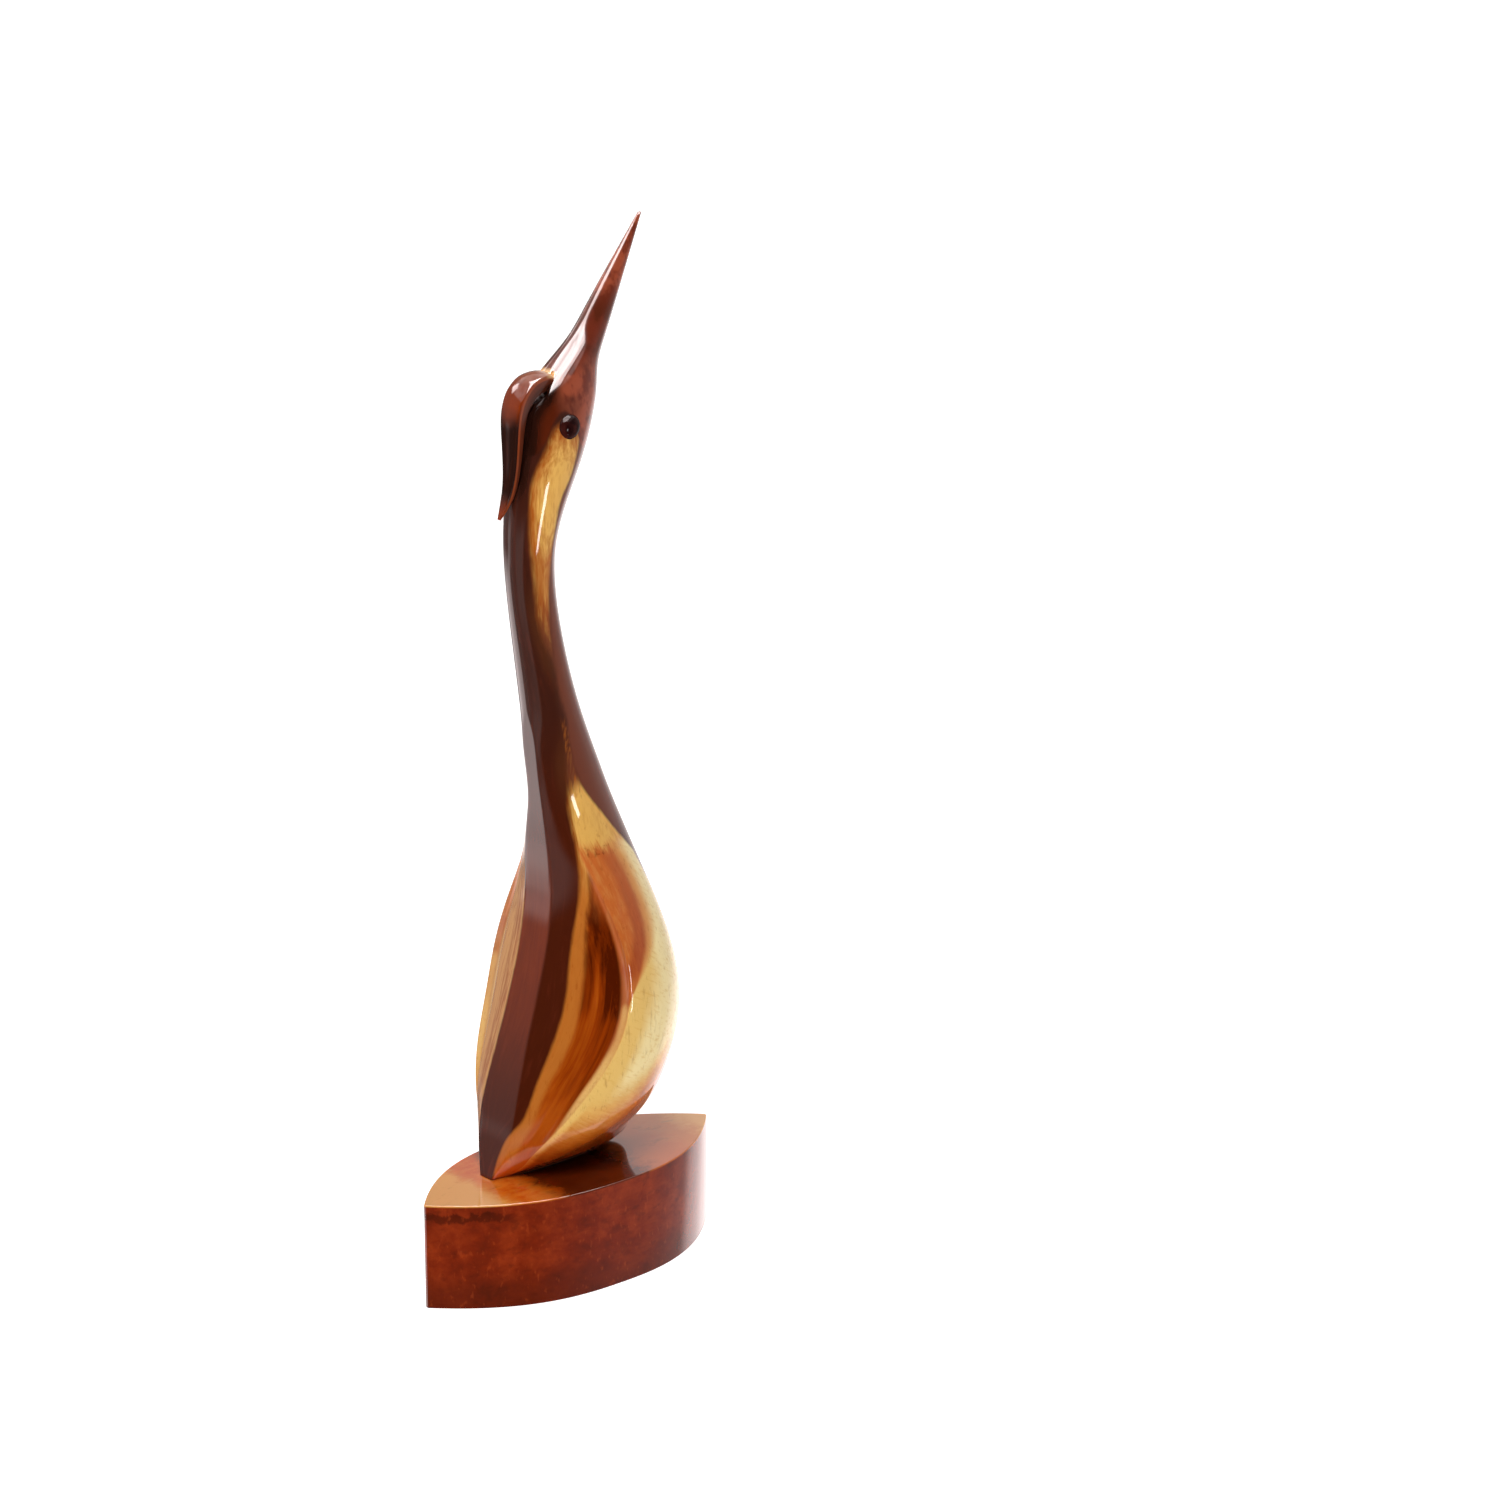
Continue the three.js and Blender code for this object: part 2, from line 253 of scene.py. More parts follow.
# Half of a level section, from the middle of the back to the middle of the breast, in fine steps.
# It also gives how far along the flat's edge, the hollow's start, the wing's edge and the widest place lie
def halfSection(z, count=160):
    at = sectionSizes(z)
    back, breast, width, middle = at["backLine"], at["breastLine"], at["halfWidth"], at["middle"]
    flat = min(at["backFlat"], bird["flatAtMost"] * width)

    def onRound(angle):
        x = middle - at["reach"] * np.maximum(np.cos(angle), 0) ** at["sharp"]
        return np.stack([x, width * np.sin(angle) ** at["sharp"]], -1)

    ridgeTurn = math.radians(at["ridgeAngle"])
    flatTurn = math.asin((flat / width) ** (1 / at["sharp"]))
    corner = np.array([back, flat])
    ridge = onRound(ridgeTurn)
    flank = ridge - corner
    outward = np.array([-flank[1], flank[0]]) / np.hypot(*flank)
    t = np.linspace(0, 1, count)[:, None]
    full = onRound(flatTurn + (ridgeTurn - flatTurn) * t[:, 0])
    bulge = full - full[0] - (ridge - full[0]) * t
    sunk = np.clip((t - at["hollowStart"]) / (1 - at["hollowStart"]), 0, 1)
    profile = np.sin(np.pi * sunk ** bird["hollowLateness"])
    profile = profile * (1 - bird["hollowEdgeShare"] * (1 - sunk))
    wing = corner + flank * t + at["flankRound"] * bulge - outward * max(at["hollowDepth"], 0) * profile
    side = onRound(np.linspace(ridgeTurn, np.pi / 2, count))
    turn = np.linspace(0, np.pi / 2, count)
    front = np.stack([middle + (breast - middle) * np.sin(turn), width * np.cos(turn)], -1)
    outline = np.concatenate([[[back, 0]], wing, side[1:], front[1:]])
    outline[-1, 1] = 0
    run = np.concatenate([[0], np.cumsum(np.hypot(*np.diff(outline, axis=0).T))])
    hollowStart = 1 + int(at["hollowStart"] * (count - 1))
    marks = run[[1, hollowStart, count, 2 * count - 1]]
    return outline, run, marks


def softened(ring, length, radius):  # a closed ring of complex points with its corners rounded
    waves = np.fft.fftfreq(len(ring), length / len(ring))
    return np.fft.ifft(np.fft.fft(ring) * np.exp(-2 * (np.pi * waves * radius) ** 2))


# The whole ring at a height: its edges are softened, and its points gather at the edges. Up the neck the
# edges run together, and the places where points gather are spread along the ring instead
def birdRing(z, fine=700):
    outline, run, marks = halfSection(z)
    even = np.linspace(0, run[-1], fine)
    half = np.interp(even, run, outline[:, 0]) - 1j * np.interp(even, run, outline[:, 1])
    ring = np.concatenate([half, half[-2:0:-1].conj()])
    radius = min(bird["edgeRadius"], bird["edgeShareOfWidth"] * birdCurves["halfWidth"](z))
    soft = softened(ring, 2 * run[-1], radius)
    least = np.array(bird["spreadMarks"]) * run[-1]
    marks = np.maximum(marks, least * softStep(z, bird["spreadFrom"], bird["spreadTo"]))
    stops = [0, *marks, run[-1]]
    counts = [bird["points" + name] for name in ("Flat", "Flank", "Hollow", "Side", "Breast")]
    places = []
    for first, last, count in zip(stops, stops[1:], counts):
        t = np.arange(count) / count
        gathered = 0.5 - 0.5 * np.cos(np.pi * t)
        places.extend(first + (last - first) * (bird["evenShare"] * t + bird["gatheredShare"] * gathered))
    places.append(run[-1])
    x = np.interp(places, even, soft.real[:fine])
    y = np.interp(places, even, soft.imag[:fine])
    y[[0, -1]] = 0
    y = np.maximum(y, -bird["widest"])
    xs = np.concatenate([x, x[-2:0:-1]])
    ys = np.concatenate([y, -y[-2:0:-1]])
    return np.stack([xs, ys, np.full(len(xs), z)], -1)


def loftMesh(name, rings, endPoint=None):  # rings in millimetres, closed at both ends
    count = len(rings[0])
    points = np.concatenate(rings)
    faces = []
    for r in range(len(rings) - 1):
        for i in range(count):
            a, b = r * count + i, r * count + (i + 1) % count
            faces.append((a, b, b + count, a + count))
    ends = [(0, rings[0], None, True), ((len(rings) - 1) * count, rings[-1], endPoint, False)]
    for first, ring, point, turned in ends:
        centre = len(points)
        points = np.vstack([points, ring.mean(0) if point is None else point])
        for i in range(count):
            a, b = first + i, first + (i + 1) % count
            faces.append((b, a, centre) if turned else (a, b, centre))
    mesh = bpy.data.meshes.new(name)
    mesh.from_pydata((points * mm).tolist(), [], faces)
    thing = bpy.data.objects.new(name, mesh)
    bpy.context.scene.collection.objects.link(thing)
    return thing


def birdBody():
    levels = np.arange(bird["firstLevel"], bird["lastLevel"], bird["levelStep"])
    levels = np.append(levels, bird["lastLevel"])
    rings = [birdRing(z) for z in levels]
    foot = rings[0].copy()
    foot[:, 2] = bird["foot"]
    last = rings[-1]
    tip = np.array([birdCurves["breastLine"](bird["tip"]) - bird["tipBehindBreast"], 0, bird["tip"]])
    for t in bird["domeSteps"]:  # the very point is a small dome
        centre = last.mean(0) * (1 - t) + tip * t
        rings.append(centre + (last - last.mean(0)) * math.sqrt(1 - t * t))
    return loftMesh("carved_bird", [foot, *rings], tip)


# The strap from the top of the head, curled over and down behind it: its outer face seen from the side,
# and what it and the grooves beside it measure along the way, as [share of its length, value]
crest = {
    "outerFace": [
        [0.4, 263.2], [-1.6, 264.3], [-4.4, 264.5], [-7.4, 263.8], [-10.2, 262.0], [-12.5, 259.0],
        [-13.9, 255.0], [-14.5, 248], [-14.7, 240], [-15.8, 232.6], [-18.6, 225.4]],
    "halfWidth": [[0, 3.2], [0.12, 3.9], [0.4, 4.0], [0.6, 3.3], [0.8, 2.3], [0.92, 1.4], [1, 0.5]],
    "thickness": [
        [0, 4.5], [0.15, 4.8], [0.31, 4.3], [0.4, 3.7], [0.52, 3.1], [0.77, 2.3], [0.88, 1.8], [1, 0.5]],
    "grooveWidth": [
        [0.03, 0.5], [0.1, 1.5], [0.18, 2.1], [0.35, 2.1], [0.6, 1.5], [0.8, 0.7], [0.88, 0.3]],
    "grooveAbove": 1.2, "grooveUnder": 0.8, "grooveFrom": 0.03, "grooveTo": 0.88,
    "crown": 0.175, "undercut": 0.85, "edgeRadius": 0.2, "edgeShareOfWidth": 0.1,
    "rings": 110, "around": 64, "fineSteps": 400, "crownPoints": 25,
}
crestCurves = {key: smoothCurve(crest[key]) for key in ("halfWidth", "thickness", "grooveWidth")}


def crestLine(shares):  # points of the crest's outer face seen from the side, and its direction there
    face = np.array(crest["outerFace"])
    run = np.concatenate([[0], np.cumsum(np.hypot(*np.diff(face, axis=0).T))])
    s, nudge = np.asarray(shares) * run[-1], 0.01
    before, after = np.maximum(s - nudge, 0), np.minimum(s + nudge, run[-1])
    point, direction = [], []
    for column in face.T:
        line = smoothCurve(np.stack([run, column], -1))
        point.append(line(s))
        direction.append((line(after) - line(before)) / (after - before))
    return np.stack(point, -1), np.stack(direction, -1)


# A body swept along the crest: its outline is [sideways, sunk below the outer face] at each share
def alongCrest(name, first, last, outlineAt):
    shares = np.linspace(first, last, crest["rings"])
    points, directions = crestLine(shares)
    fine = crest["fineSteps"]
    kept = np.arange(crest["around"]) * fine // crest["around"]
    rings = []
    for t, at, along in zip(shares, points, directions):
        along = along / np.hypot(*along)
        outline = np.array(outlineAt(t))
        closed = np.vstack([outline, outline[:1]])
        length = np.concatenate([[0], np.cumsum(np.hypot(*np.diff(closed, axis=0).T))])
        even = np.linspace(0, length[-1], fine, endpoint=False)
        ring = np.interp(even, length, closed[:, 0]) + 1j * np.interp(even, length, closed[:, 1])
        radius = min(crest["edgeRadius"], crest["edgeShareOfWidth"] * crestCurves["halfWidth"](t))
        soft = softened(ring, length[-1], radius)[kept]
        x = at[0] - along[1] * soft.imag
        z = at[1] + along[0] * soft.imag
        rings.append(np.stack([x, soft.real, z], -1))
    return loftMesh(name, rings)


def strapOutline(t):
    w, deep = float(crestCurves["halfWidth"](t)), float(crestCurves["thickness"](t))
    across = np.linspace(-1, 1, crest["crownPoints"])
    top = np.stack([across * w, -crest["crown"] * w * (1 - across ** 2)], -1)
    return [*top, [w * crest["undercut"], deep], [-w * crest["undercut"], deep]]


def grooveOutline(t):  # what is cut away beside the strap on the left
    w, deep = float(crestCurves["halfWidth"](t)), float(crestCurves["thickness"](t))
    width = float(crestCurves["grooveWidth"](t))
    inner, outer = w * crest["undercut"] - crest["grooveUnder"], w + width
    above, floor = -crest["grooveAbove"], deep + crest["grooveUnder"] * width
    low = [(inner + 2 * outer) / 3, floor]
    return [[inner, above], [outer, above], [outer, deep / 2], low, [inner, floor]]


def grooveOnRight(t):
    return [[-y, sink] for y, sink in reversed(grooveOutline(t))]


# The beads that serve as eyes, and the sockets they sit in
eyes = {
    "radius": 3.6, "depth": 2.3, "x": 0.6, "y": 7.6, "z": 250.1, "play": 0.05, "around": 64, "down": 40,
    "dark": (30, 7, 7), "light": (58, 22, 18),
}


def meshFromTree(name, build, material, sizes):
    tree = bpy.data.node_groups.new(name, "GeometryNodeTree")
    graph = Graph(tree)
    tree.interface.new_socket("Mesh", in_out="OUTPUT", socket_type="NodeSocketGeometry")
    sockets = {}
    for key, value in sizes.items():
        kind = "NodeSocketInt" if isinstance(value, int) else "NodeSocketFloat"
        sockets[key] = tree.interface.new_socket(key, in_out="INPUT", socket_type=kind)
    entry = tree.nodes.new("NodeGroupInput")
    size = {key: Wire(graph, entry.outputs[key]) for key in sizes}
    shape = graph.add("GeometryNodeRealizeInstances", None, [build(graph, size)])
    shape = graph.add("GeometryNodeSetMaterial", None, {"Geometry": shape, "Material": material})
    graph.add("NodeGroupOutput", None, [shape])
    thing = bpy.data.objects.new(name, bpy.data.meshes.new(name))
    bpy.context.scene.collection.objects.link(thing)
    nodes = thing.modifiers.new("shape", "NODES")
    nodes.node_group = tree
    for key, value in sizes.items():
        nodes[sockets[key].identifier] = value
    return plainMesh(thing)


def plainMesh(thing):  # the evaluated shape takes the place of the mesh and its modifiers
    bpy.context.view_layer.update()
    evaluated = thing.evaluated_get(bpy.context.evaluated_depsgraph_get())
    mesh = bpy.data.meshes.new_from_object(evaluated)
    thing.modifiers.clear()
    thing.data = mesh
    return thing


def buildBead(graph, size):
    inputs = {"Segments": size["Around"], "Rings": size["Down"], "Radius": size["Radius"]}
    ball = graph.add("GeometryNodeMeshUVSphere", None, inputs)
    scale = graph.add("ShaderNodeCombineXYZ", None, [1.0, size["Depth"] / size["Radius"], 1.0])
    place = graph.add("ShaderNodeCombineXYZ", None, [size["X"], size["Y"], size["Z"]])
    moved = {"Geometry": ball, "Translation": place, "Scale": scale}
    return graph.add("GeometryNodeTransform", None, moved)


def eyeBead(name, side, material, extra=0.0):
    sizes = {
        "Around": eyes["around"], "Down": eyes["down"], "Radius": (eyes["radius"] + extra) * mm,
        "Depth": (eyes["depth"] + extra) * mm, "X": eyes["x"] * mm, "Y": side * eyes["y"] * mm,
        "Z": eyes["z"] * mm}
    return meshFromTree(name, buildBead, material, sizes)


def combine(thing, other, operation):
    modifier = thing.modifiers.new(operation, "BOOLEAN")
    modifier.operation = operation
    modifier.solver = "MANIFOLD"
    modifier.object = other
    plainMesh(thing)
    bpy.data.objects.remove(other)


# Where the dark heart of the log ends and what lies beyond it, in millimetres on [height, value]
figure = {
    "rightEdge": [
        [31.9, -3.0], [40, -3.6], [45, -5.9], [50, -9.4], [55, -10.6], [60, -11.3], [70, -12.9],
        [80, -14.0], [85, -14.1], [95, -13.2], [105, -12.8], [115, -13.1], [125, -12.0], [130, -11.0],
        [135, -9.6], [140, -8.5], [146, -8.1], [154, -8.0], [165, -9.4], [178, -8.6], [184, -7.4],
        [190, -6.5], [202, -5.9], [214, -5.9], [222, -5.6], [231, -5.4], [239, -6.0], [245, -7.2],
        [250, -7.6], [256, -9.2]],
    "leftEdge": [
        [31.9, 3.0], [40, 6.4], [49.4, 7.5], [67.5, 6.6], [84.4, 6.0], [113, 6.2], [128, 7.4], [141, 7.6],
        [154, 8.0], [165, 9.6], [178, 8.4], [190, 6.5], [202, 5.9], [222, 5.6], [245, 7.2], [256, 9.2]],
    "frontEdge": [
        [96, 44], [110, 30], [122, 20.6], [125, 18.0], [128, 15.2], [134, 10.5], [140, 6.6], [146, 2.7],
        [150, 1.0], [154, 0.0], [165, -1.7], [172, -3.2], [184, -5.6], [190, -6.1], [201, -6.3], [210, -5.6],
        [218, -4.8], [224, -3.9], [230, -2.8], [235, 0.0], [240, 2.3], [245, 3.8], [250, 5.5]],
    "stripEdge": [
        [31.9, -3.4], [40, -4.0], [50, -5.0], [60, -6.5], [70, -7.3], [80, -7.6], [90, -7.3], [100, -5.9],
        [110, -3.8], [115, -2.0], [120, -0.5], [127, 2.0], [131, 3.4]],
    "paleBeyond": [
        [31.9, 0], [50, 0], [70, 0], [82, 0], [87, 0.4], [90, 1.5], [93, 3.2], [96, 5.4], [100, 8.0],
        [105, 10.2], [110, 11.0], [120, 11.4], [127, 10.5], [131, 9.0]],
    "breastStripe": [[36, 7], [60, 4], [84, 2.5], [100, 3], [115, 5], [122, 7], [130, 8]],
}
# The height below which the belly turns brown, by millimetres past the wing's edge
bellyLevel = [[-14, 40], [0, 41], [8, 42], [12, 44], [18, 48], [22, 53.5], [26, 56], [36, 58]]
# The height above which the head is brown, by millimetres forward
headLevel = [[-10, 243], [-7.3, 246.5], [-4.6, 251.3], [-2, 254], [1, 253], [3.6, 246.5], [6, 243]]
# Where the breast's stripe and the crest's marks are looked for. Points farther off get the value far
marked = {
    "far": 9.0, "stripeFrom": 8, "stripeAside": 0.8, "crestAbove": 222, "crestBehind": 4, "crestSteps": 200,
    "crestRaised": 1.2, "crestUnder": 0.2, "crestBeside": 0.1, "grooveEnd": 0.96,
}


# Each point learns which layer of the log it was carved from, in millimetres
def layerFigure(mesh):
    points = np.empty(len(mesh.vertices) * 3, np.float32)
    mesh.vertices.foreach_get("co", points)
    x, y, z = points.reshape(-1, 3).T.astype(float) / mm
    at = {key: smoothCurve(pairs)(z) for key, pairs in figure.items()}
    far = marked["far"]
    outside = np.where(y < 0, at["rightEdge"] - y, y - at["leftEdge"])
    stripe = np.where(x > marked["stripeFrom"], at["breastStripe"] - abs(y + marked["stripeAside"]), -far)
    inside = np.maximum(np.maximum(-outside, x - at["frontEdge"]), stripe)
    pastEdge = x - wingEdge(np.clip(z, bird["firstLevel"], bird["neckTo"]))
    shares = np.linspace(0, 1, marked["crestSteps"])
    facePoints, directions = crestLine(shares)
    directions = directions / np.linalg.norm(directions, axis=1, keepdims=True)
    near = np.nonzero((z > marked["crestAbove"]) & (x < marked["crestBehind"]))[0]
    offset = np.stack([x, z], -1)[near, None] - facePoints[None]
    nearest = np.argmin((offset ** 2).sum(-1), 1)
    offset = offset[np.arange(len(near)), nearest]
    along = directions[nearest]
    sink = offset[:, 1] * along[:, 0] - offset[:, 0] * along[:, 1]
    t = shares[nearest]
    width, deep = crestCurves["halfWidth"](t), crestCurves["thickness"](t)
    inStrap = (sink < deep + marked["crestUnder"]) & (sink > -marked["crestRaised"]) & (t > 0)
    inStrap &= abs(y[near]) < width + marked["crestBeside"]
    beside = np.hypot(np.maximum(abs(y[near]) - width, 0), np.maximum(sink - deep, 0))
    strap, strapRun = np.zeros(len(x)), np.zeros(len(x))
    sunk, groove = np.full(len(x), far), np.full(len(x), far)
    strap[near] = inStrap
    strapRun[near] = t
    sunk[near] = np.clip(sink, -2, far)
    groove[near] = np.where(t < marked["grooveEnd"], beside, far)
    layers = {
        "heart": np.clip(inside, -30, 4),
        "front": x - at["frontEdge"],
        "layer": outside,
        "edge": pastEdge,
        "scoop": pastEdge - at["stripEdge"],
        "pale": pastEdge - at["paleBeyond"],
        "under": z - smoothCurve(bellyLevel)(pastEdge),
        "head": z - smoothCurve(headLevel)(x),
        "flat": np.where(x < 0, abs(y) - birdCurves["backFlat"](z), far),
        "strap": strap, "strapRun": strapRun, "sunk": sunk, "groove": groove,
    }
    for name, values in layers.items():
        attribute = mesh.attributes.new(name, "FLOAT", "POINT")
        attribute.data.foreach_set("value", values.astype(np.float32))


woodColours = {
    "heart": (70, 25, 10), "neck": (60, 27, 18), "flat": (112, 40, 10), "heartFront": (104, 52, 34),
    "neckBrown": (86, 46, 24),
    "gold": (219, 168, 86), "goldDeep": (164, 86, 28), "ochre": (180, 104, 38),
    "brown": (136, 50, 4), "brownDark": (76, 22, 2), "brownLight": (170, 78, 14),
    "copper": (188, 98, 44), "russet": (158, 66, 28), "peach": (211, 150, 80),
    "pale": (238, 216, 156), "paleDeep": (224, 184, 106), "dash": (206, 152, 72),
    "amber": (216, 162, 86), "sienna": (196, 122, 48), "umber": (178, 92, 24), "dark": (132, 56, 12),
    "flank": (206, 147, 86), "flankStreak": (164, 98, 56), "flankPale": (212, 170, 116),
    "cheek": (148, 70, 46), "cheekDark": (106, 43, 27), "brow": (82, 29, 11), "stain": (60, 26, 16),
    "beakDark": (86, 36, 20),
    "strap": (126, 47, 13), "strapSheen": (150, 80, 50), "strapDarkAndShade": (36, 15, 9), "strapSide": (92, 42, 26),
    "strapRimSheen": (140, 64, 34), "lip": (226, 180, 128),
}
blockColours = {
    "sideDeep": (94, 30, 13), "side": (119, 37, 14), "sideLight": (142, 50, 20), "sideFoot": (84, 31, 16),
    "band": (64, 22, 10), "blot": (82, 28, 12), "fleck": (166, 66, 30),
    "backDeep": (190, 78, 8), "back": (206, 112, 32), "backEnd": (216, 150, 70),
    # The two tones for the middle of the top are painted shadow of the bird
    "birdShadowDeep": (74, 22, 2), "heart": (98, 34, 5), "front": (196, 98, 30), "frontLight": (204, 116, 42),
    "frontEnd": (230, 166, 90), "topBlot": (96, 30, 4),
}


def tones(colours):
    return {key: fromDisplay(*colour) for key, colour in colours.items()}


def lacquer(graph, material, colour, height, bump=0.0004, coat=1.0):
    normal = graph.add("ShaderNodeBump", None, {"Strength": 1.0, "Distance": bump, "Height": height})
    inputs = {
        "Base Color": colour, "Roughness": 0.5, "Specular IOR Level": 0.0, "Coat Weight": coat,
        "Coat Roughness": 0.045, "Coat IOR": 1.55, "Normal": normal}
    shader = graph.add("ShaderNodeBsdfPrincipled", None, inputs)
    graph.add("ShaderNodeOutputMaterial", None, [shader])
    return material


def carvedWood():
    material, graph = newMaterial("two_tone_wood")
    rise, between, blend = graph.rise, graph.between, graph.blend
    tone = tones(woodColours)
    place = graph.add("ShaderNodeTexCoord", None, None, "Object")
    x, y, z = graph.axes(place, 1 / mm)
    names = ("heart", "front", "layer", "edge", "scoop", "pale", "under", "head")
    heart, front, layer, edge, scoop, pale, under, head = map(graph.attribute, names)
    names = ("flat", "strap", "strapRun", "sunk", "groove")
    flat, strap, strapRun, sunk, groove = map(graph.attribute, names)

    # The grain runs up the bird: broad figure, fine streaks, pores and soft clouds
    heartGrain = graph.add("ShaderNodeCombineXYZ", None, [layer, x * 0.4, z * 0.05])
    wingGrain = graph.add("ShaderNodeCombineXYZ", None, [edge, layer * 0.4, z * 0.05])
    broad = graph.noise(wingGrain, 0.3, 2, 0.5) - 0.5
    streak = graph.noise(wingGrain, 1.1, 3, 0.62) - 0.5
    heartStreak = graph.noise(heartGrain, 0.8, 3, 0.6) - 0.5
    fine = graph.grain(place, (1, 1, 0.05), 2600, 2, 0.6)
    cloud = graph.grain(place, (1, 1, 0.4), 110, 3, 0.55) - 0.5
    speck = graph.grain(place, (1, 1, 0.7), 700, 2, 0.6)
    wander = (graph.grain(place, (1, 1, 0.3), 260, 3, 0.6) - 0.5) * 2.2
    slant = graph.add("ShaderNodeCombineXYZ", None, [x * 0.5 + z * 0.86, y, (x * 0.86 - z * 0.5) * 0.14])
    dashes = graph.noise(slant, 1.1, 3, 0.6) - 0.5

    # The strip beside the heart is ochre along the wing and golden up the neck
    triangle = between(z, 130, 146, 8)
    thread = graph.noise(heartGrain, 2.6, 2, 0.6) - 0.5
    goldShare = rise(layer + broad * 2 + thread * 2, -0.4, 3.0 - triangle * 1.8)
    gold = blend(goldShare + heartStreak * 0.9 + thread * 0.9, tone["goldDeep"], tone["gold"])
    veins = between(layer + wander * 0.4, 0.6, 1.1, 0.5) * between(z, 204, 240, 8)
    gold = blend(veins * rise(heartStreak, -0.2, 0.2) * 0.7, gold, tone["goldDeep"])
    strip = blend(streak * 1.2 + 0.1, tone["ochre"], tone["goldDeep"])
    wood = blend(rise(z + wander, 112, 132), strip, gold)

    # The hollow of the right wing: darkest just inside its edge, orange towards the foot
    core = between(edge + wander * 0.8, -2.4, -0.8, 2.0) * between(z + streak * 40, 96, 110, 18)
    lowCore = between(edge + wander * 0.6, -2.6, -1.0, 2.2) * between(z + broad * 16, 62, 96, 14) * 0.3
    margin = between(scoop + wander * 0.3, 0.3, 1.4, 1.2) * between(z, 86, 108, 8) * 0.4
    depth = core * 0.52 + lowCore + margin + streak * 1.1 + broad * 0.9 + 0.26
    hollow = graph.ramp(depth, [(0.0, tone["brownLight"]), (0.5, tone["brown"]), (0.95, tone["brownDark"])])
    hollow = blend(rise(z + broad * 24, 72, 44) * 0.6, hollow, tone["brownLight"])
    hollow = blend(rise(z + streak * 10, 106, 122) * 0.85, hollow, tone["copper"])
    below = rise(z + wander * 1.6 + streak * 9, 130.5, 125.5)
    inHollow = rise(scoop + wander * 0.2, -0.4, 0.7) * below
    wood = blend(inHollow, wood, hollow)
    seam = between(scoop + wander * 0.3, 0.1, 0.6, 0.6) * between(z, 98, 124, 6) * rise(streak, -0.3, 0.1)
    wood = blend(seam * 0.5, wood, tone["brownDark"])

    # Past the wing's edge: copper with a russet streak above, pale sapwood below
    copper = blend(streak * 1.3 + 0.05, tone["copper"], tone["peach"])
    pastWing = rise(edge, -0.4, 0.4) * below
    wood = blend(pastWing, wood, copper)
    russet = between(pale + wander * 0.8, -4.8, -1.8, 2.2) * between(z + wander * 2, 95, 127, 5)
    russet = russet * rise(z, 132, 98, 0.45, 0.9) * rise(streak, -0.25, 0.15, 0.45, 1.0)
    wood = blend(russet * pastWing, wood, tone["russet"])
    high = rise(z, 88, 106)
    ragged = pale + wander * (high * 0.9 + 0.1)
    fringe = rise(ragged, high * -2.6 - 0.2, high * 1.6 + 0.3)
    pastWing = rise(edge, -0.4, 0.4) * rise(z + wander * 2, 132, 126)
    wood = blend(fringe * pastWing, wood, tone["peach"])
    light = blend(rise(cloud + rise(edge, 1, 15), 0.2, 0.9), tone["paleDeep"], tone["pale"])
    light = blend(rise(dashes, 0.0, 0.24) * 0.45, light, tone["dash"])
    inPale = rise(ragged, high * 0.5 - 0.2, high * 5.5 + 0.3) * pastWing
    wood = blend(inPale * rise(z, 134, 126), wood, light)

    # Under the belly the wood turns amber, then brown, darker near the block partly as painted shade. A light
    # tongue stays beside the wing's edge
    belly = under + rise(edge, 3.0, 0.4) * 9 + wander * 1.6 + dashes * 8
    low = graph.ramp((belly + 8) / 26, [
        (0.04, tone["dark"]), (0.32, tone["umber"]), (0.54, tone["sienna"]), (0.76, tone["amber"]),
        (1.0, tone["paleDeep"])])
    low = blend(rise(belly, 12, 22), low, light)
    wood = blend(rise(z, 76, 68) * rise(edge, -0.3, 0.4), wood, low)
    # Umber near the foot: the wood's tone, partly painted shade
    wood = blend(rise(z + wander, 41, 35) * rise(edge, 0.5, -0.5), wood, tone["umber"])

    # The left flank is light, with one broad soft brown streak and finer ones
    flankStreak = between(layer + wander, 2.4, 6.0, 1.8) * rise(heartStreak, -0.2, 0.15)
    flank = blend(flankStreak, tone["flank"], tone["flankStreak"])
    flank = blend(rise(layer + wander * 2, 13, 22), flank, tone["flankPale"])
    flank = blend(rise(streak, -0.05, 0.25) * 0.6, flank, tone["flankStreak"])
    onLeft = rise(y, -1, 1) * rise(edge, 0.4, -0.4) * rise(z, 126, 116)
    wood = blend(onLeft, wood, flank)

    fibres = rise(graph.grain(place, (1, 1, 0.12), 1000, 3, 0.7), 0.55, 0.72)
    wood = blend(fibres * 0.3, wood, tone["brown"])

    # Dark specks gather where the hollow's figure ends below the neck
    specks = between(z + wander, 126.6, 128.4, 0.8) * between(edge, 2, 11, 1) * rise(speck, 0.5, 0.72)
    wood = blend(specks * 0.6, wood, tone["brownDark"])

